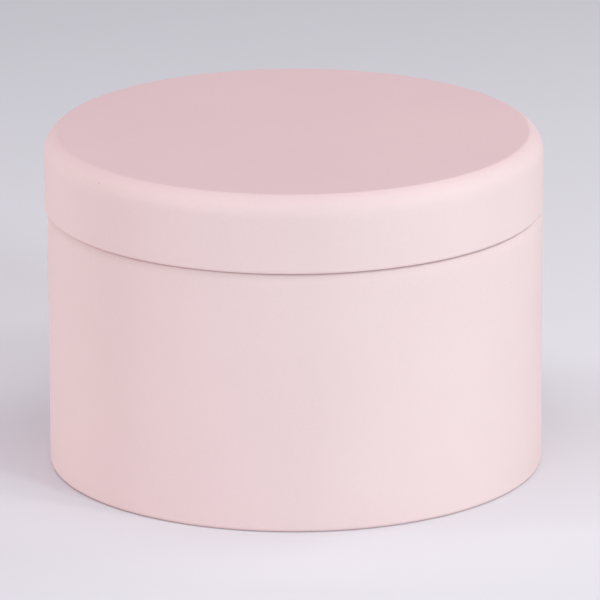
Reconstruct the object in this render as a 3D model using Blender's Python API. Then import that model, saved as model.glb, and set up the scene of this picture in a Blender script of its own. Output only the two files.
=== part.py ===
"""A seamless round candle tin with a slip lid, and the candle that it holds.

The tin and its lid are each drawn from one disc of sheet steel. The lid's edge is rolled inwards and slides
on a neck that is stepped in at the top of the tin, so that lid and wall finish almost flush. Inside, a cotton
wick stands in a crimped steel sustainer, which an adhesive disc holds to the base, and wax fills the tin.

Metres, +Z up. The origin is the middle of the circle that the tin stands on.
"""

import math

import bpy

MM = 0.001

# The tin and lid, outside
LID_RADIUS = 40.0 * MM
WALL_RADIUS = 39.8 * MM
OVERALL_HEIGHT = 54.7 * MM
SKIRT_HEIGHT = 12.4 * MM  # from the lid's top down to its rolled edge
LID_BREAK = 0.8 * MM  # radius with which the lid's flat top starts to turn down
LID_BREAK_DEGREES = 25.0
LID_ROUND = 3.6 * MM  # radius of the rest of its top edge
BASE_CORNER = 0.75 * MM  # radius where the wall meets the standing ring

# The sheet, and how its edges are formed
SHEET = 0.3 * MM
GAP = 0.3 * MM  # between pieces that touch or slide
HEM_RADIUS = 0.55 * MM  # the lid's rolled lower edge
HEM_LEAF = 1.2 * MM  # what is turned up inside the hem
RIM_RADIUS = 0.6 * MM  # the tin's rolled rim
RIM_TURN = 270.0  # degrees that the rim is rolled through
RIM_DROP = 1.05 * MM  # from the lid's top down to the rim's top

# The shoulder: just under the lid, the wall leans in, turns over a narrow ledge and goes up again as the neck
LEDGE_GAP = 0.32 * MM  # from the ledge that the wall is turned into up to the lid's rolled edge
SHOULDER_SWELL = 4.5 * MM  # outside radius with which the wall starts to lean in
SHOULDER_LEAN = 18.0  # how far it leans, in degrees
SHOULDER_EDGE = 0.5 * MM  # outside radius of the ledge's edge
SHOULDER_FOOT = 0.3 * MM  # outside radius where the ledge turns up into the neck

# The base, raised in two steps inside a standing ring
RING_WIDTH = 2.5 * MM
RING_STEP = 1.0 * MM
PANEL_STEP = 0.5 * MM
PANEL_RADIUS = 24.0 * MM
BASE_BEND = 0.8 * MM  # radius of each bend in the base, at the middle of the sheet

# The candle
WAX_LEVEL = 40.0 * MM
WICK_RADIUS = 1.2 * MM
WICK_TRIM = 6.5 * MM  # how far the wick stands above the wax
WICK_CHAMFER = 0.3 * MM  # round its trimmed end
TAB_RADIUS = 10.0 * MM  # the sustainer's disc, and the adhesive disc under it
TAB_CORNER = 0.5 * MM  # bend between the sustainer's disc and collar, at the middle of the sheet
COLLAR_HEIGHT = 6.0 * MM
ADHESIVE = 0.8 * MM
ADHESIVE_CHAMFER = 0.1 * MM  # where the punch presses its upper edge down

# How finely round shapes are divided
TIN_SIDES = 48
WICK_SIDES = 16
BEND_DEGREES = 22.0  # most that one flat of a bend may turn

# What follows from those
LID_EDGE_Z = OVERALL_HEIGHT - SKIRT_HEIGHT
NECK_RADIUS = LID_RADIUS - 2 * HEM_RADIUS - GAP
RIM_TOP_Z = OVERALL_HEIGHT - RIM_DROP
BASE_TOP_Z = RING_STEP + PANEL_STEP + SHEET
ADHESIVE_Z = BASE_TOP_Z + GAP
TAB_Z = ADHESIVE_Z + ADHESIVE + GAP
COLLAR_TOP_Z = TAB_Z + COLLAR_HEIGHT
WICK_TOP_Z = WAX_LEVEL + WICK_TRIM
COLLAR_RADIUS = WICK_RADIUS + GAP + SHEET

LEFT, RIGHT = 1, -1  # seen along the sheet, as it is followed
OUTWARDS, DOWNWARDS = 0.0, 270.0  # headings, in degrees


class SheetLine:
    """The middle of a formed sheet, in section: straight runs and bends that meet without a corner.

    Each point is kept with the heading that the sheet has there, so that a line beside it can be found.
    """

    def __init__(self, radius, height, heading):
        self.radius = radius
        self.height = height
        self.heading = math.radians(heading)
        self.marks = []
        self._mark()

    def _mark(self):
        self.marks.append((self.radius, self.height, self.heading))

    def run(self, length):
        self.radius += length * math.cos(self.heading)
        self.height += length * math.sin(self.heading)
        self._mark()

    def run_to_radius(self, radius):
        self.run((radius - self.radius) / math.cos(self.heading))

    def run_to_height(self, height):
        self.run((height - self.height) / math.sin(self.heading))

    def bend(self, radius, degrees, side):
        flats = max(2, math.ceil(degrees / BEND_DEGREES))
        turn = math.radians(degrees) / flats
        chord = 2 * radius * math.sin(turn / 2)
        for _ in range(flats):
            self.radius += chord * math.cos(self.heading + side * turn / 2)
            self.height += chord * math.sin(self.heading + side * turn / 2)
            self.heading += side * turn
            self._mark()

    def step(self, offset, first_radius, second_radius, side):
        """Two opposite bends, which move the sheet sideways and leave its heading as it was."""
        degrees = step_degrees(offset, first_radius, second_radius)
        self.bend(first_radius, degrees, side)
        self.bend(second_radius, degrees, -side)

    def points(self):
        return self.beside(0.0)

    def beside(self, distance):
        """The points of the line that lies this far to the left."""
        return [
            (radius - distance * math.sin(heading), height + distance * math.cos(heading))
            for radius, height, heading in self.marks
        ]


def step_degrees(offset, first_radius, second_radius):
    """How far each of the two bends of a step turns."""
    return math.degrees(math.acos(1 - offset / (first_radius + second_radius)))


def step_length(offset, first_radius, second_radius):
    """How far a step runs along the sheet's heading."""
    turn = math.radians(step_degrees(offset, first_radius, second_radius))
    return (first_radius + second_radius) * math.sin(turn)


def revolved(name, points, sides, finish, parent, closed=False):
    """An object whose section is a chain of (radius, height) points, turned round the Z axis.

    Outside surfaces run down the chain. A closed chain is a ring's section, whose last point joins its first.
    """
    mesh = bpy.data.meshes.new(name)
    edges = [(i, i + 1) for i in range(len(points) - 1)]
    if closed:
        edges.append((len(points) - 1, 0))
    mesh.from_pydata([(radius, 0.0, height) for radius, height in points], edges, [])
    mesh.materials.append(finish)
    made = bpy.data.objects.new(name, mesh)
    bpy.context.scene.collection.objects.link(made)
    made.parent = parent
    turn = made.modifiers.new("Turn", "SCREW")
    turn.axis = "Z"
    turn.steps = turn.render_steps = sides
    turn.use_merge_vertices = True
    turn.merge_threshold = 0.01 * MM
    turn.use_smooth_shade = True
    return made


def formed_sheet(name, line, sides, finish, parent):
    """A piece of sheet steel, of even thickness about its line."""
    made = revolved(name, line.points(), sides, finish, parent)
    thicken = made.modifiers.new("Sheet", "SOLIDIFY")
    thicken.thickness = SHEET
    thicken.offset = 0.0
    thicken.use_even_offset = True
    return made


def chamfered_disc(name, radius, bottom, top, chamfer, finish, parent):
    """A disc or rod on the axis, chamfered round its top."""
    section = [
        (0.0, top),
        (radius - chamfer, top),
        (radius, top - chamfer),
        (radius, bottom),
        (0.0, bottom),
    ]
    return revolved(name, section, WICK_SIDES, finish, parent)


def shoulder_rise():
    """How far the sheet's middle climbs between the straight wall and the ledge."""
    lean = math.sin(math.radians(SHOULDER_LEAN))
    half = SHEET / 2
    return (SHOULDER_SWELL - half) * lean + (SHOULDER_EDGE - half) * (1 - lean)


def tin_line():
    """From the middle of the base, out to the wall, up over the shoulder, and round the rolled rim."""
    half = SHEET / 2
    wall = WALL_RADIUS - half
    neck = NECK_RADIUS - half
    corner = BASE_CORNER - half
    ring_inner = wall - corner - RING_WIDTH
    line = SheetLine(0.0, RING_STEP + PANEL_STEP + half, OUTWARDS)
    line.run_to_radius(PANEL_RADIUS)
    line.step(PANEL_STEP, BASE_BEND, BASE_BEND, RIGHT)
    line.run_to_radius(ring_inner - step_length(RING_STEP, BASE_BEND, BASE_BEND))
    line.step(RING_STEP, BASE_BEND, BASE_BEND, RIGHT)
    line.run_to_radius(wall - corner)
    line.bend(corner, 90.0, LEFT)
    line.run_to_height(LID_EDGE_Z - LEDGE_GAP - half - shoulder_rise())
    line.bend(SHOULDER_SWELL - half, SHOULDER_LEAN, LEFT)
    line.bend(SHOULDER_EDGE - half, 90.0 - SHOULDER_LEAN, LEFT)
    line.run_to_radius(neck + SHOULDER_FOOT + half)
    line.bend(SHOULDER_FOOT + half, 90.0, RIGHT)
    line.run_to_height(RIM_TOP_Z - RIM_RADIUS)
    line.bend(RIM_RADIUS - half, RIM_TURN, LEFT)
    return line


def tin_body(finish, parent):
    return formed_sheet("tin_body", tin_line(), TIN_SIDES, finish, parent)


def lid_corner_width():
    """How far the middle of the sheet runs outwards round the lid's top edge."""
    turn = math.sin(math.radians(LID_BREAK_DEGREES))
    half = SHEET / 2
    return (LID_BREAK - half) * turn + (LID_ROUND - half) * (1 - turn)


def lid(finish, parent):
    """From the middle of the lid, out and down the skirt, and round the hem that is turned in."""
    half = SHEET / 2
    skirt = LID_RADIUS - half
    line = SheetLine(0.0, OVERALL_HEIGHT - half, OUTWARDS)
    line.run_to_radius(skirt - lid_corner_width())
    line.bend(LID_BREAK - half, LID_BREAK_DEGREES, RIGHT)
    line.bend(LID_ROUND - half, 90.0 - LID_BREAK_DEGREES, RIGHT)
    line.run_to_height(LID_EDGE_Z + HEM_RADIUS)
    line.bend(HEM_RADIUS - half, 180.0, RIGHT)
    line.run(HEM_LEAF - HEM_RADIUS)
    return formed_sheet("lid", line, TIN_SIDES, finish, parent)


def wax_fill(finish, parent):
    """Down the tin's inside and along its base, then up round the adhesive disc, sustainer and wick."""
    tab_hole = TAB_RADIUS + GAP
    tab_top = TAB_Z + SHEET + GAP
    collar_hole = COLLAR_RADIUS + GAP
    wick_hole = WICK_RADIUS + GAP
    section = [
        (radius, height)
        for radius, height in reversed(tin_line().beside(SHEET / 2 + GAP))
        if radius > tab_hole and height < WAX_LEVEL
    ]
    wall = max(radius for radius, _ in section)
    section.insert(0, (wall, WAX_LEVEL))
    section += [
        (tab_hole, BASE_TOP_Z + GAP),
        (tab_hole, tab_top),
        (collar_hole + TAB_CORNER, tab_top),
        (collar_hole, tab_top + TAB_CORNER),
        (collar_hole, COLLAR_TOP_Z + GAP),
        (wick_hole, COLLAR_TOP_Z + GAP),
        (wick_hole, WAX_LEVEL),
    ]
    return revolved("wax_fill", section, TIN_SIDES, finish, parent, closed=True)


def wick_sustainer(finish, parent):
    """From the top of the collar that grips the wick, down, and out along the disc."""
    half = SHEET / 2
    line = SheetLine(COLLAR_RADIUS - half, COLLAR_TOP_Z, DOWNWARDS)
    line.run_to_height(TAB_Z + half + TAB_CORNER)
    line.bend(TAB_CORNER, 90.0, LEFT)
    line.run_to_radius(TAB_RADIUS)
    return formed_sheet("wick_sustainer", line, WICK_SIDES, finish, parent)


def wick_sticker(finish, parent):
    top = ADHESIVE_Z + ADHESIVE
    return chamfered_disc("wick_sticker", TAB_RADIUS, ADHESIVE_Z, top, ADHESIVE_CHAMFER, finish, parent)


def wick(finish, parent):
    return chamfered_disc("wick", WICK_RADIUS, TAB_Z, WICK_TOP_Z, WICK_CHAMFER, finish, parent)


def material(name, colour, roughness, metallic=0.0):
    made = bpy.data.materials.new(name)
    made.use_nodes = True
    shader = made.node_tree.nodes["Principled BSDF"]
    shader.inputs["Base Color"].default_value = (*colour, 1.0)
    shader.inputs["Roughness"].default_value = roughness
    shader.inputs["Metallic"].default_value = metallic
    return made


def assembly(name):
    """An empty at the origin, which its pieces are parented to."""
    made = bpy.data.objects.new(name, None)
    bpy.context.scene.collection.objects.link(made)
    return made


def main():
    for old in list(bpy.data.objects):
        bpy.data.objects.remove(old)

    tin = assembly("tin")
    lid_lift = assembly("lid_lift")

    enamel = material("pink_enamel", (0.78, 0.56, 0.57), 0.5)
    tin_body(enamel, tin)
    lid(enamel, lid_lift)
    wax_fill(material("wax", (0.90, 0.85, 0.74), 0.45), tin)
    wick(material("waxed_cotton", (0.85, 0.81, 0.70), 0.8), tin)
    wick_sustainer(material("tinned_steel", (0.72, 0.72, 0.70), 0.3, 1.0), tin)
    wick_sticker(material("adhesive_foam", (0.86, 0.86, 0.84), 0.9), tin)


main()
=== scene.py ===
"""The looks of the candle tin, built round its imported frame: fine meshes, materials, light and camera."""

import math
import random

import bpy
from mathutils import Matrix, Vector, noise


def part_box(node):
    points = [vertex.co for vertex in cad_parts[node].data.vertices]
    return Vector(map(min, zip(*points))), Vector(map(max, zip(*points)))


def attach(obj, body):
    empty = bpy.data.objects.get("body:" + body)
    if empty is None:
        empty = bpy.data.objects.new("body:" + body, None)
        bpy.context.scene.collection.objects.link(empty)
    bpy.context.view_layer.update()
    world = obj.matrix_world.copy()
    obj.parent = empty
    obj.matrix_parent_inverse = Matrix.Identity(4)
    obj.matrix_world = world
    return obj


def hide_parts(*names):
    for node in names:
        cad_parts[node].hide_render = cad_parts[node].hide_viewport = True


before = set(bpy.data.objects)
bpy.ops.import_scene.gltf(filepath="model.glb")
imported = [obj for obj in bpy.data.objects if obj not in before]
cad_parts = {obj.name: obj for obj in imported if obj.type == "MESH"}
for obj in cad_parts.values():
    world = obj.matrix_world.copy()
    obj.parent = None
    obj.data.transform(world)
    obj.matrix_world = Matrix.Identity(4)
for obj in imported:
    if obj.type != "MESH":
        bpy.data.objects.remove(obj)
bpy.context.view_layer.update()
TIN_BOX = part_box("tin_body")
LID_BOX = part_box("lid")
WAX_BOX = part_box("wax_fill")
WICK_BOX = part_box("wick")
TAB_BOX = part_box("wick_sustainer")
FOAM_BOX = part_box("wick_sticker")

MM = 0.001
SEED = 7  # of the sheets' small errors and of the wick's cut end

# The two drawn sheets
SHEET = 0.3 * MM
LID_RADIUS = LID_BOX[1].x
LID_TOP = LID_BOX[1].z
LID_EDGE = LID_BOX[0].z
LID_BREAK = 0.8 * MM  # radius with which the lid's flat top starts to turn down
LID_BREAK_DEGREES = 25.0
LID_ROUND = 3.6 * MM  # radius of the rest of its top edge
HEM_RADIUS = 0.55 * MM  # the lid's rolled lower edge
HEM_LEAF = 1.2 * MM  # what is turned up inside the hem
LID_SHIFT = -0.2 * MM  # the loose lid sits a little to the left
WALL_RADIUS = TIN_BOX[1].x
NECK_GAP = 0.3 * MM  # between the hem and the neck
NECK_RADIUS = LID_RADIUS - 2 * HEM_RADIUS - NECK_GAP
RIM_TOP = TIN_BOX[1].z
RIM_RADIUS = 0.6 * MM
RIM_TURN = 270.0
LEDGE_GAP = 0.12 * MM  # from the shoulder's ledge up to the lid's rolled edge
SHOULDER_SWELL = 4.5 * MM  # radius with which the wall starts to lean in
SHOULDER_LEAN = 21.0  # how far it leans, in degrees
SHOULDER_EDGE = 0.5 * MM  # radius of the ledge's edge
SHOULDER_FOOT = 0.3 * MM  # radius where the ledge turns up into the neck
BASE_CORNER = 0.65 * MM
RING_WIDTH = 2.5 * MM
RING_STEP = 1.0 * MM
PANEL_STEP = 0.5 * MM
PANEL_RADIUS = 24.0 * MM
BASE_BEND = 0.8 * MM
BASE_TOP = RING_STEP + PANEL_STEP + SHEET

# The candle
WAX_GAP = 0.03 * MM  # all round, from the tin and from what holds the wick
WAX_RADIUS = WALL_RADIUS - SHEET - WAX_GAP
WAX_LEVEL = WAX_BOX[1].z
WALL_MENISCUS = (0.5 * MM, 1.2 * MM)  # how high the wax climbs, and over what distance it falls away
WICK_MENISCUS = (0.9 * MM, 0.9 * MM)
WAX_SINK = 0.35 * MM  # how far the middle sinks as the wax cools
WAX_WAVES = ((9.0 * MM, 0.05 * MM), (1.6 * MM, 0.012 * MM))  # size and height, broad and fine
WAX_ROWS = (0.1 * MM, 0.6 * MM)  # from ring to ring of its mesh, at the edges and at most
WICK_RADIUS = WICK_BOX[1].x
WICK_LEAN = 0.4 * MM  # sideways at the tip
STRANDS = 4  # each way round the braid
YARNS = 3  # in each strand
BRAID_PITCH = 9.0 * MM
YARN_PITCH = 2.1 * MM
YARN_RADIUS = 0.13 * MM
YARN_TRIM = (0.05 * MM, 0.45 * MM)  # how far below the wick's top each yarn is cut
CORE_RADIUS = 0.62 * MM
CORE_TRIM = 0.35 * MM
FIBRES = 4  # that stand out of each yarn's cut end
FIBRE_RADIUS = 0.022 * MM
FIBRE_LENGTH = (0.25 * MM, 0.75 * MM)
FIBRE_ROOT = 0.15 * MM  # how deep in the yarn a fibre starts
COLLAR_RADIUS = 1.8 * MM
TAB_CORNER = 0.5 * MM
CRIMP = 0.16  # how far the collar is flattened, as a share of its radius
CRIMP_START = 1.5 * MM  # above the tab's foot
CRIMP_BLEND = 2.0 * MM  # the height over which it comes to its full depth

# How finely shapes are divided
SIDES = 256
BEND_DEGREES = 8.0
ROW = 1.2 * MM
END_ROW = 0.08 * MM  # the rows that keep a bend's shading off the flats beside it
SMALL_SIDES = 96  # round the wick's tab and sticker, and the floor
YARN_ROW = 0.22 * MM
CORE_ROWS = 60

# The studio
FLOOR_COLOUR = (0.79, 0.752, 0.794)
FLOOR_RADIUS = 12.0
WORLD_COLOUR = (0.91, 0.94, 1.0)
WORLD_STRENGTH = 0.38
# Azimuth from the camera's side, positive to its right, elevation, distance, width, height, power, colour
LIGHTS = {
    "top": (-25.0, 80.0, 0.45, 0.45, 0.30, 0.92, (0.99, 0.94, 1.0)),
    "front": (-30.0, 4.0, 1.5, 0.26, 0.26, 2.3, (1.0, 0.96, 0.93)),
    "key": (42.0, 8.4, 1.12, 0.19, 0.37, 7.9, (0.71, 1.0, 0.96)),
    "side": (56.0, 50.0, 0.58, 0.06, 0.11, 0.39, (1.0, 0.87, 0.83)),
    "left": (-84.6, 4.0, 1.5, 0.26, 0.26, 10.2, (0.88, 1.0, 0.92)),
    "back": (112.0, 31.0, 0.45, 0.21, 0.11, 0.34, (0.97, 1.0, 0.94)),
}

# The camera looks along +Y and down
CAMERA_RISE = math.radians(16.8)
CAMERA_ROLL = math.radians(0.2)
CAMERA_DISTANCE = 1.187
CAMERA_LENS = 441.7
AIM = Vector((0.0, 0.0, 27.0 * MM))
AIM_OFFSET = (0.75 * MM, -0.77 * MM)  # to the right and up, from that point to the middle of the picture

LEFT, RIGHT = 1, -1
OUTWARDS, DOWNWARDS = 0.0, 270.0


class SheetLine:
    """The middle of a formed sheet, in section. Each point keeps the heading that the sheet has there."""

    def __init__(self, radius, height, heading):
        self.radius = radius
        self.height = height
        self.heading = math.radians(heading)
        self.marks = []
        self._mark()

    def _mark(self):
        self.marks.append((self.radius, self.height, self.heading))

    def _forward(self, length):
        self.radius += length * math.cos(self.heading)
        self.height += length * math.sin(self.heading)
        self._mark()

    def run(self, length):
        end = min(END_ROW, length / 3)
        rows = max(1, math.ceil((length - 2 * end) / ROW))
        self._forward(end)
        for _ in range(rows):
            self._forward((length - 2 * end) / rows)
        self._forward(end)

    def run_to_radius(self, radius):
        self.run((radius - self.radius) / math.cos(self.heading))

    def run_to_height(self, height):
        self.run((height - self.height) / math.sin(self.heading))

    def bend(self, radius, degrees, side):
        flats = max(2, math.ceil(degrees / BEND_DEGREES))
        turn = math.radians(degrees) / flats
        chord = 2 * radius * math.sin(turn / 2)
        for _ in range(flats):
            self.radius += chord * math.cos(self.heading + side * turn / 2)
            self.height += chord * math.sin(self.heading + side * turn / 2)
            self.heading += side * turn
            self._mark()

    def step(self, offset, first_radius, second_radius, side):
        """Two opposite bends, which move the sheet sideways."""
        degrees = step_degrees(offset, first_radius, second_radius)
        self.bend(first_radius, degrees, side)
        self.bend(second_radius, degrees, -side)

    def beside(self, distance):
        """The points of the line that lies this far to the left."""
        return [
            (radius - distance * math.sin(heading), height + distance * math.cos(heading))
            for radius, height, heading in self.marks
        ]


def step_degrees(offset, first_radius, second_radius):
    return math.degrees(math.acos(1 - offset / (first_radius + second_radius)))


def step_length(offset, first_radius, second_radius):
    turn = math.radians(step_degrees(offset, first_radius, second_radius))
    return (first_radius + second_radius) * math.sin(turn)


def new_piece(name, verts, faces, slots, finishes):
    """A smooth-shaded mesh object. slots gives each face's place in the list of finishes."""
    mesh = bpy.data.meshes.new(name)
    mesh.from_pydata(verts, [], faces)
    for finish in finishes:
        mesh.materials.append(finish)
    mesh.polygons.foreach_set("material_index", slots)
    mesh.shade_smooth()
    mesh.set_sharp_from_angle(angle=math.radians(50))
    piece = bpy.data.objects.new(name, mesh)
    bpy.context.scene.collection.objects.link(piece)
    return piece


def lathed(name, chain, finishes, closed=False, sides=SIDES):
    """Turns a chain of (radius, height, slot) round the Z axis. The solid lies to the right of the chain."""
    verts, rings = [], []
    for radius, height, _ in chain:
        if radius == 0.0:
            rings.append([len(verts)] * sides)
            verts.append((0.0, 0.0, height))
            continue
        rings.append(list(range(len(verts), len(verts) + sides)))
        for side in range(sides):
            angle = math.tau * side / sides
            verts.append((radius * math.cos(angle), radius * math.sin(angle), height))
    faces, slots = [], []
    for i in range(len(chain) if closed else len(chain) - 1):
        above, below = rings[i], rings[(i + 1) % len(chain)]
        for side in range(sides):
            after = (side + 1) % sides
            corners = (below[side], below[after], above[after], above[side])
            faces.append(tuple(dict.fromkeys(corners)))
            slots.append(chain[i][2])
    return new_piece(name, verts, faces, slots, finishes)


def sheet_chain(line, left_slot, right_slot, cut_slot):
    """Both faces of a sheet: out along its left, over the cut edge and back along its right."""
    left = [(radius, height, left_slot) for radius, height in line.beside(SHEET / 2)]
    right = [(radius, height, right_slot) for radius, height in reversed(line.beside(-SHEET / 2))]
    left[-1] = (*left[-1][:2], cut_slot)
    return left + right


def waver(piece, size, reach, keep_below=0.0):
    """Moves the surface by the small errors of a pressed sheet, less near the foot that it stands on."""
    noise.seed_set(SEED)
    for vertex in piece.data.vertices:
        share = min(1.0, max(0.0, vertex.co.z) / keep_below) if keep_below else 1.0
        vertex.co += share * reach * noise.noise_vector(vertex.co / size)


def place(piece, body, node):
    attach(piece, body)
    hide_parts(node)


def shoulder_rise():
    """How far the sheet's middle climbs between the straight wall and the ledge."""
    lean = math.sin(math.radians(SHOULDER_LEAN))
    half = SHEET / 2
    return (SHOULDER_SWELL - half) * lean + (SHOULDER_EDGE - half) * (1 - lean)


def tin_line():
    """From the middle of the base, out to the wall, up over the shoulder, and round the rolled rim."""
    half = SHEET / 2
    wall = WALL_RADIUS - half
    neck = NECK_RADIUS - half
    corner = BASE_CORNER - half
    ring_inner = wall - corner - RING_WIDTH
    line = SheetLine(0.0, BASE_TOP - half, OUTWARDS)
    line.run_to_radius(PANEL_RADIUS)
    line.step(PANEL_STEP, BASE_BEND, BASE_BEND, RIGHT)
    line.run_to_radius(ring_inner - step_length(RING_STEP, BASE_BEND, BASE_BEND))
    line.step(RING_STEP, BASE_BEND, BASE_BEND, RIGHT)
    line.run_to_radius(wall - corner)
    line.bend(corner, 90.0, LEFT)
    line.run_to_height(LID_EDGE - LEDGE_GAP - half - shoulder_rise())
    line.bend(SHOULDER_SWELL - half, SHOULDER_LEAN, LEFT)
    line.bend(SHOULDER_EDGE - half, 90.0 - SHOULDER_LEAN, LEFT)
    line.run_to_radius(neck + SHOULDER_FOOT + half)
    line.bend(SHOULDER_FOOT + half, 90.0, RIGHT)
    line.run_to_height(RIM_TOP - RIM_RADIUS)
    line.bend(RIM_RADIUS - half, RIM_TURN, LEFT)
    return line


def tin_shell(enamel, bare):
    piece = lathed("tin_shell", sheet_chain(tin_line(), 1, 0, 1), [enamel, bare])
    waver(piece, size=24 * MM, reach=0.02 * MM, keep_below=6 * MM)
    place(piece, "tin", "tin_body")


def lid_corner_width():
    """How far the middle of the sheet runs outwards round the lid's top edge."""
    turn = math.sin(math.radians(LID_BREAK_DEGREES))
    half = SHEET / 2
    return (LID_BREAK - half) * turn + (LID_ROUND - half) * (1 - turn)


def lid_shell(enamel, bare):
    """From the middle of the lid, out and down the skirt, and round the hem that is turned in."""
    half = SHEET / 2
    line = SheetLine(0.0, LID_TOP - half, OUTWARDS)
    line.run_to_radius(LID_RADIUS - half - lid_corner_width())
    line.bend(LID_BREAK - half, LID_BREAK_DEGREES, RIGHT)
    line.bend(LID_ROUND - half, 90.0 - LID_BREAK_DEGREES, RIGHT)
    line.run_to_height(LID_EDGE + HEM_RADIUS)
    line.bend(HEM_RADIUS - half, 180.0, RIGHT)
    line.run(HEM_LEAF - HEM_RADIUS)
    piece = lathed("lid_shell", sheet_chain(line, 0, 1, 1), [enamel, bare])
    waver(piece, size=30 * MM, reach=0.02 * MM)
    for vertex in piece.data.vertices:
        vertex.co.x += LID_SHIFT
    place(piece, "lid", "lid")


def wax_height(radius):
    """The set surface: it climbs the wall and the wick a little, and has sunk between them."""
    wall_rise, wall_reach = WALL_MENISCUS
    wick_rise, wick_reach = WICK_MENISCUS
    across = radius / WAX_RADIUS
    climb = wall_rise * math.exp((radius - WAX_RADIUS) / wall_reach)
    climb += wick_rise * math.exp((WICK_RADIUS - radius) / wick_reach)
    return WAX_LEVEL + climb - WAX_SINK * (1 - across * across)


def poured_wax(wax):
    """Over the set surface to the wall, down it, in along the base, and up round what holds the wick."""
    tab_hole = TAB_BOX[1].x + WAX_GAP
    tab_top = TAB_BOX[0].z + SHEET + WAX_GAP
    collar_hole = COLLAR_RADIUS + WAX_GAP
    wick_hole = WICK_RADIUS + WAX_GAP
    first_row, widest_row = WAX_ROWS
    chain = []
    radius = wick_hole
    while radius < WAX_RADIUS:
        chain.append((radius, wax_height(radius)))
        edge = min(radius - wick_hole, WAX_RADIUS - radius)
        radius += min(widest_row, first_row + 0.3 * edge)
    chain.append((WAX_RADIUS, wax_height(WAX_RADIUS)))
    inside = tin_line().beside(SHEET / 2 + WAX_GAP)
    chain += [p for p in reversed(inside) if p[0] > tab_hole and p[1] < WAX_LEVEL]
    chain += [
        (tab_hole, BASE_TOP + WAX_GAP),
        (tab_hole, tab_top),
        (collar_hole + TAB_CORNER, tab_top),
        (collar_hole, tab_top + TAB_CORNER),
        (collar_hole, TAB_BOX[1].z + WAX_GAP),
        (wick_hole, TAB_BOX[1].z + WAX_GAP),
    ]
    piece = lathed("poured_wax", [(*point, 0) for point in chain], [wax], closed=True)
    hidden = WAX_LEVEL - 1.5 * MM  # below this the wax is out of sight
    for vertex in piece.data.vertices:
        if vertex.co.z > hidden:
            vertex.co.z += sum(height * noise.noise(vertex.co / size) for size, height in WAX_WAVES)
    place(piece, "tin", "wax_fill")


def tube(verts, faces, path, radius, sides=6):
    """Adds a closed round tube along a path of points to a mesh's lists."""
    first = len(verts)
    across = Vector((1.0, 0.0, 0.0))
    for i, point in enumerate(path):
        ahead = (path[min(i + 1, len(path) - 1)] - path[max(i - 1, 0)]).normalized()
        across = (across - ahead * across.dot(ahead)).normalized()
        up = ahead.cross(across)
        for side in range(sides):
            angle = math.tau * side / sides
            verts.append(point + radius * (math.cos(angle) * across + math.sin(angle) * up))
    for i in range(len(path) - 1):
        for side in range(sides):
            after = (side + 1) % sides
            low, high = first + i * sides, first + (i + 1) * sides
            faces.append((low + side, low + after, high + after, high + side))
    faces.append(tuple(reversed(range(first, first + sides))))
    faces.append(tuple(range(first + (len(path) - 1) * sides, first + len(path) * sides)))


def lean(height):
    """How far the wick stands off its axis at a height."""
    above = max(0.0, height - WAX_LEVEL) / (WICK_BOX[1].z - WAX_LEVEL)
    return Vector((WICK_LEAN * above * above, 0.4 * WICK_LEAN * above, 0.0))


def yarn_path(way, strand, yarn, top):
    """One yarn: it winds about its strand, which weaves over and under those that go the other way."""
    half_width, half_depth = 0.24 * MM, 0.085 * MM
    weave = 0.17 * MM
    middle = WICK_RADIUS - weave - half_depth - YARN_RADIUS
    bottom = WICK_BOX[0].z
    points = []
    steps = round((top - bottom) / YARN_ROW)
    for i in range(steps + 1):
        height = bottom + (top - bottom) * i / steps
        turn = math.tau * (strand / STRANDS + way * height / BRAID_PITCH)
        radius = middle + way * weave * math.cos(math.tau * STRANDS * height / BRAID_PITCH)
        twist = math.tau * (yarn / YARNS + height / YARN_PITCH)
        radius += half_depth * math.cos(twist)
        turn += half_width * math.sin(twist) / middle
        points.append(Vector((radius * math.cos(turn), radius * math.sin(turn), height)) + lean(height))
    return points


def braided_wick(cotton):
    """Eight strands of three yarns, braided round a core, with the short fibres of a trimmed end."""
    draw = random.Random(SEED)
    verts, faces = [], []
    tips = []
    for way in (1, -1):
        for strand in range(STRANDS):
            for yarn in range(YARNS):
                top = WICK_BOX[1].z - draw.uniform(*YARN_TRIM)
                path = yarn_path(way, strand, yarn, top)
                tube(verts, faces, path, YARN_RADIUS)
                tips.append(path[-1])
    bottom, top = WICK_BOX[0].z, WICK_BOX[1].z - CORE_TRIM
    core = [bottom + (top - bottom) * i / CORE_ROWS for i in range(CORE_ROWS + 1)]
    tube(verts, faces, [Vector((0, 0, z)) + lean(z) for z in core], CORE_RADIUS, sides=14)
    for tip in tips:
        for _ in range(FIBRES):
            away = Vector((draw.gauss(0, 0.5), draw.gauss(0, 0.5), 1.0))
            bend = Vector((draw.gauss(0, 0.3), draw.gauss(0, 0.3), 0.0))
            length = draw.uniform(*FIBRE_LENGTH)
            start = tip - Vector((0, 0, FIBRE_ROOT))
            fibre = [start + length * (away * t + bend * t * t) for t in (0.0, 0.3, 0.6, 0.8, 1.0)]
            tube(verts, faces, fibre, FIBRE_RADIUS, sides=4)
    piece = new_piece("braided_wick", verts, faces, [0] * len(faces), [cotton])
    place(piece, "tin", "wick")


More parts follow.
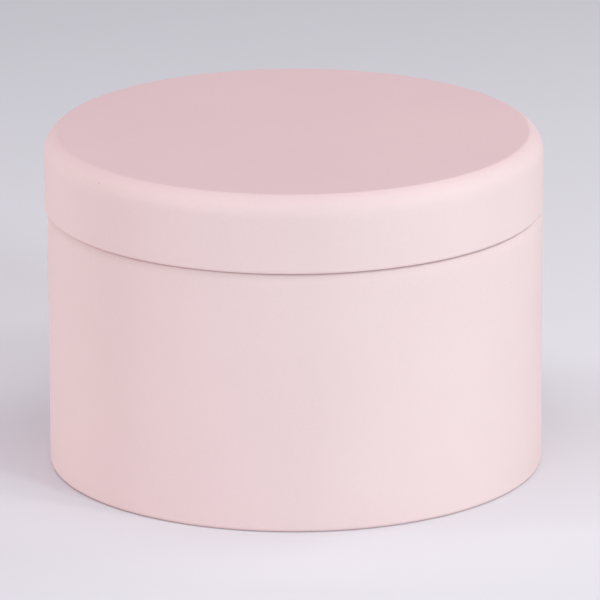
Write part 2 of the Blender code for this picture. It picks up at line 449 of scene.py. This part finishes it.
def crimped_sustainer(steel):
    """From the top of the collar, down, and out along the disc. The collar is pinched round the wick."""
    half = SHEET / 2
    line = SheetLine(COLLAR_RADIUS - half, TAB_BOX[1].z, DOWNWARDS)
    line.run_to_height(TAB_BOX[0].z + half + TAB_CORNER)
    line.bend(TAB_CORNER, 90.0, LEFT)
    line.run_to_radius(TAB_BOX[1].x)
    chain = sheet_chain(line, 0, 0, 0)
    piece = lathed("crimped_sustainer", chain, [steel], closed=True, sides=SMALL_SIDES)
    start = TAB_BOX[0].z + CRIMP_START
    for vertex in piece.data.vertices:
        share = min(1.0, max(0.0, vertex.co.z - start) / CRIMP_BLEND)
        share = share * share * (3 - 2 * share)
        vertex.co.x *= 1 - CRIMP * share
        vertex.co.y *= 1 + 0.6 * CRIMP * share
    place(piece, "tin", "wick_sustainer")


def foam_sticker(foam):
    """A punched disc whose edges are a little rounded."""
    bottom, top, radius = FOAM_BOX[0].z, FOAM_BOX[1].z, FOAM_BOX[1].x
    corner = 0.18 * MM
    line = SheetLine(0.0, top, OUTWARDS)
    line.run_to_radius(radius - corner)
    line.bend(corner, 90.0, RIGHT)
    line.run_to_height(bottom + corner)
    line.bend(corner, 90.0, RIGHT)
    line.run_to_radius(0.0)
    chain = [(radius, height, 0) for radius, height in line.beside(0.0)]
    chain[-1] = (0.0, bottom, 0)
    piece = lathed("foam_sticker", chain, [foam], sides=SMALL_SIDES)
    place(piece, "tin", "wick_sticker")


def new_material(name):
    finish = bpy.data.materials.new(name)
    finish.use_nodes = True
    return finish, finish.node_tree, finish.node_tree.nodes["Principled BSDF"]


def add(tree, kind, inputs=None, **settings):
    """A node with its settings, whose inputs are set to values or linked to other nodes' outputs."""
    made = tree.nodes.new(kind)
    for name, value in settings.items():
        setattr(made, name, value)
    connect(tree, made, inputs or {})
    return made


def connect(tree, made, inputs):
    for name, value in inputs.items():
        if isinstance(value, bpy.types.NodeSocket):
            tree.links.new(value, made.inputs[name])
        else:
            made.inputs[name].default_value = value


def position(tree):
    return add(tree, "ShaderNodeTexCoord").outputs["Object"]


def noise_field(tree, where, size, detail=2.0, roughness=0.5):
    """Noise from 0 to 1 whose features are about this size, in metres."""
    inputs = {"Vector": where, "Scale": 1 / size, "Detail": detail, "Roughness": roughness}
    return add(tree, "ShaderNodeTexNoise", inputs).outputs["Fac"]


def remap(tree, value, low, high, new_low, new_high):
    inputs = {"Value": value, "From Min": low, "From Max": high, "To Min": new_low, "To Max": new_high}
    return add(tree, "ShaderNodeMapRange", inputs).outputs["Result"]


def math_node(tree, operation, first, second=0.0):
    return add(tree, "ShaderNodeMath", {0: first, 1: second}, operation=operation).outputs[0]


def blend_colours(tree, share, first, second):
    """From the first colour, where share is 0, to the second, where it is 1. Each is a colour or a socket."""
    made = add(tree, "ShaderNodeMix", {"Factor": share}, data_type="RGBA")
    for name, value in (("A", first), ("B", second)):
        socket = next(s for s in made.inputs if s.name == name and s.type == "RGBA")
        if isinstance(value, bpy.types.NodeSocket):
            tree.links.new(value, socket)
        else:
            socket.default_value = (*value, 1.0)
    return next(s for s in made.outputs if s.type == "RGBA")


def bump(tree, height, depth, normal=None):
    """A bump of this depth, in metres, where height goes from 0 to 1."""
    inputs = {"Height": height, "Distance": depth, "Strength": 1.0}
    if normal is not None:
        inputs["Normal"] = normal
    return add(tree, "ShaderNodeBump", inputs).outputs["Normal"]


def enamel_material():
    """Satin pink powder coat: an even colour, a faint orange peel, and a few dark specks of dust."""
    finish, tree, shader = new_material("pink_powder_coat")
    where = position(tree)
    tone = remap(tree, noise_field(tree, where, 22 * MM), 0.3, 0.7, 0.0, 1.0)
    pink = blend_colours(tree, tone, (0.725, 0.514, 0.526), (0.740, 0.530, 0.539))
    grain = remap(tree, noise_field(tree, where, 0.35 * MM, detail=3.0), 0.3, 0.7, 0.0, 1.0)
    grained = blend_colours(tree, math_node(tree, "MULTIPLY", grain, 0.25), pink, (0.77, 0.58, 0.59))
    cells = add(tree, "ShaderNodeTexVoronoi", {"Vector": where, "Scale": 1 / (5.5 * MM)})
    dust = remap(tree, cells.outputs["Distance"], 0.008, 0.020, 0.75, 0.0)
    colour = blend_colours(tree, dust, grained, (0.16, 0.10, 0.10))
    gloss = remap(tree, noise_field(tree, where, 6 * MM, detail=4.0), 0.3, 0.7, 0.70, 0.76)
    peel = bump(tree, noise_field(tree, where, 0.9 * MM, detail=1.0), 3.5e-6)
    powder = bump(tree, noise_field(tree, where, 0.16 * MM, detail=2.0), 0.7e-6, peel)
    connect(tree, shader, {"Base Color": colour, "Roughness": gloss, "Normal": powder})
    shader.inputs["Specular IOR Level"].default_value = 0.25
    return finish


def round_the_axis(tree, where, across, along):
    """Coordinates for lines on a turned piece: its angle, times across, and its height, times along."""
    parts = add(tree, "ShaderNodeSeparateXYZ", {0: where})
    angle = math_node(tree, "ARCTAN2", parts.outputs["Y"], parts.outputs["X"])
    inputs = {
        0: math_node(tree, "MULTIPLY", angle, across),
        1: math_node(tree, "MULTIPLY", parts.outputs["Z"], along),
    }
    return add(tree, "ShaderNodeCombineXYZ", inputs).outputs[0]


def tinplate_material(name, roughness):
    """Bright tinned steel: drawing lines up its walls, rolling lines across its flats, and a soft bloom."""
    finish, tree, shader = new_material(name)
    where = position(tree)
    walls = noise_field(tree, round_the_axis(tree, where, 0.04, 0.02), 0.22 * MM, detail=4.0)
    flats_at = add(tree, "ShaderNodeVectorMath", {0: where, 1: (0.03, 1.0, 1.0)}, operation="MULTIPLY")
    flats = noise_field(tree, flats_at.outputs[0], 0.2 * MM, detail=4.0)
    facing = add(tree, "ShaderNodeNewGeometry").outputs["Normal"]
    upward = math_node(tree, "ABSOLUTE", add(tree, "ShaderNodeSeparateXYZ", {0: facing}).outputs["Z"])
    flatness = remap(tree, upward, 0.5, 0.8, 0.0, 1.0)
    lines = add(tree, "ShaderNodeMix", {0: flatness, 2: walls, 3: flats}).outputs[0]
    bloom = noise_field(tree, where, 7 * MM, detail=5.0, roughness=0.6)
    cloudy = remap(tree, bloom, 0.35, 0.7, 0.0, 1.0)
    colour = blend_colours(tree, cloudy, (0.66, 0.655, 0.64), (0.76, 0.75, 0.73))
    grooved = remap(tree, lines, 0.3, 0.7, roughness - 0.06, roughness + 0.06)
    rough = math_node(tree, "ADD", grooved, remap(tree, bloom, 0.3, 0.7, -0.03, 0.05))
    connect(tree, shader, {"Base Color": colour, "Roughness": rough, "Normal": bump(tree, lines, 1.5e-6)})
    shader.inputs["Metallic"].default_value = 1.0
    return finish


def wax_material():
    """Cream soy wax: light goes a little way in, and its surface has a soft, patchy frost."""
    finish, tree, shader = new_material("soy_wax")
    where = position(tree)
    frost = remap(tree, noise_field(tree, where, 8 * MM, detail=6.0, roughness=0.65), 0.45, 0.7, 0.0, 1.0)
    colour = blend_colours(tree, frost, (0.90, 0.77, 0.61), (0.94, 0.85, 0.75))
    rough = remap(tree, frost, 0.0, 1.0, 0.38, 0.6)
    swell = bump(tree, noise_field(tree, where, 3 * MM, detail=2.0), 0.03 * MM)
    crystals = bump(tree, noise_field(tree, where, 0.3 * MM, detail=3.0), 2e-6, swell)
    connect(tree, shader, {"Base Color": colour, "Roughness": rough, "Normal": crystals})
    shader.inputs["Subsurface Weight"].default_value = 0.6
    shader.inputs["Subsurface Radius"].default_value = (1.0, 0.75, 0.45)
    shader.inputs["Subsurface Scale"].default_value = 2.5 * MM
    return finish


def cotton_material():
    """Cotton yarn stiffened with wax: fibres show as fine streaks, and wax fills some of the hollows."""
    finish, tree, shader = new_material("waxed_cotton_yarn")
    where = position(tree)
    fibres = noise_field(tree, where, 0.06 * MM, detail=3.0)
    waxed = remap(tree, noise_field(tree, where, 0.9 * MM, detail=2.0), 0.4, 0.6, 0.0, 1.0)
    colour = blend_colours(tree, waxed, (0.86, 0.82, 0.72), (0.80, 0.74, 0.60))
    rough = remap(tree, waxed, 0.0, 1.0, 0.85, 0.5)
    connect(tree, shader, {"Base Color": colour, "Roughness": rough, "Normal": bump(tree, fibres, 8e-6)})
    shader.inputs["Sheen Weight"].default_value = 0.2
    return finish


def foam_material():
    """White closed-cell foam with its cells showing, each cell darker towards its middle as painted shade in
    the pit that the bump makes there.
    """
    finish, tree, shader = new_material("white_foam")
    where = position(tree)
    cells = add(tree, "ShaderNodeTexVoronoi", {"Vector": where, "Scale": 1 / (0.3 * MM)}).outputs["Distance"]
    # painted shade: the colour darkens towards each cell's middle, where the bump below sinks into a pit
    painted_pit_shade = remap(tree, cells, 0.0, 0.8, 0.0, 1.0)
    colour = blend_colours(tree, painted_pit_shade, (0.78, 0.78, 0.76), (0.88, 0.88, 0.86))
    connect(tree, shader, {"Base Color": colour, "Normal": bump(tree, cells, 0.02 * MM)})
    shader.inputs["Roughness"].default_value = 0.9
    return finish


def floor_material():
    finish, tree, shader = new_material("pale_floor")
    where = position(tree)
    tone = remap(tree, noise_field(tree, where, 60 * MM, detail=2.0), 0.3, 0.7, 0.0, 1.0)
    colour = blend_colours(tree, tone, FLOOR_COLOUR, tuple(1.01 * c for c in FLOOR_COLOUR))
    connect(tree, shader, {"Base Color": colour})
    shader.inputs["Roughness"].default_value = 0.9
    shader.inputs["Specular IOR Level"].default_value = 0.0
    return finish


def floor():
    """A wide round floor, which a low camera sees no edge of."""
    chain = [(0.0, 0.0, 0), (FLOOR_RADIUS, 0.0, 0)]
    piece = lathed("floor", chain, [floor_material()], sides=SMALL_SIDES)


def softbox(name, azimuth, elevation, distance, width, height, power, colour):
    """A rectangle of light that faces the tin."""
    lamp = bpy.data.lights.new(name, "AREA")
    lamp.shape = "RECTANGLE"
    lamp.size = width
    lamp.size_y = height
    lamp.energy = power
    lamp.color = colour
    made = bpy.data.objects.new(name, lamp)
    made.visible_camera = False
    turn, rise = math.radians(azimuth), math.radians(elevation)
    towards = Vector((math.sin(turn) * math.cos(rise), -math.cos(turn) * math.cos(rise), math.sin(rise)))
    middle = Vector((0.0, 0.0, LID_TOP / 2))
    made.location = middle + distance * towards
    made.rotation_euler = (-towards).to_track_quat("-Z", "Y").to_euler()
    bpy.context.scene.collection.objects.link(made)


def studio():
    for name, values in LIGHTS.items():
        softbox(name, *values)
    world = bpy.data.worlds.new("studio")
    world.use_nodes = True
    background = world.node_tree.nodes["Background"]
    background.inputs["Color"].default_value = (*WORLD_COLOUR, 1.0)
    background.inputs["Strength"].default_value = WORLD_STRENGTH
    bpy.context.scene.world = world
    bpy.context.scene.view_settings.view_transform = "Standard"


def camera():
    lens = bpy.data.cameras.new("camera")
    lens.lens = CAMERA_LENS
    lens.sensor_width = 36.0
    made = bpy.data.objects.new("camera", lens)
    back = Vector((0.0, -math.cos(CAMERA_RISE), math.sin(CAMERA_RISE)))
    right = Vector((1.0, 0.0, 0.0))
    up = back.cross(right)
    tilt = Matrix.Rotation(CAMERA_ROLL, 3, -back)
    right, up = tilt @ right, tilt @ up
    turned = Matrix((right, up, back)).transposed().to_4x4()
    aim = AIM + AIM_OFFSET[0] * right + AIM_OFFSET[1] * up
    made.matrix_world = Matrix.Translation(aim + CAMERA_DISTANCE * back) @ turned
    bpy.context.scene.collection.objects.link(made)
    bpy.context.scene.camera = made


enamel = enamel_material()
bare = tinplate_material("bare_tinplate", 0.30)
tin_shell(enamel, bare)
lid_shell(enamel, bare)
poured_wax(wax_material())
braided_wick(cotton_material())
crimped_sustainer(tinplate_material("tinned_tab", 0.26))
foam_sticker(foam_material())
floor()
studio()
camera()
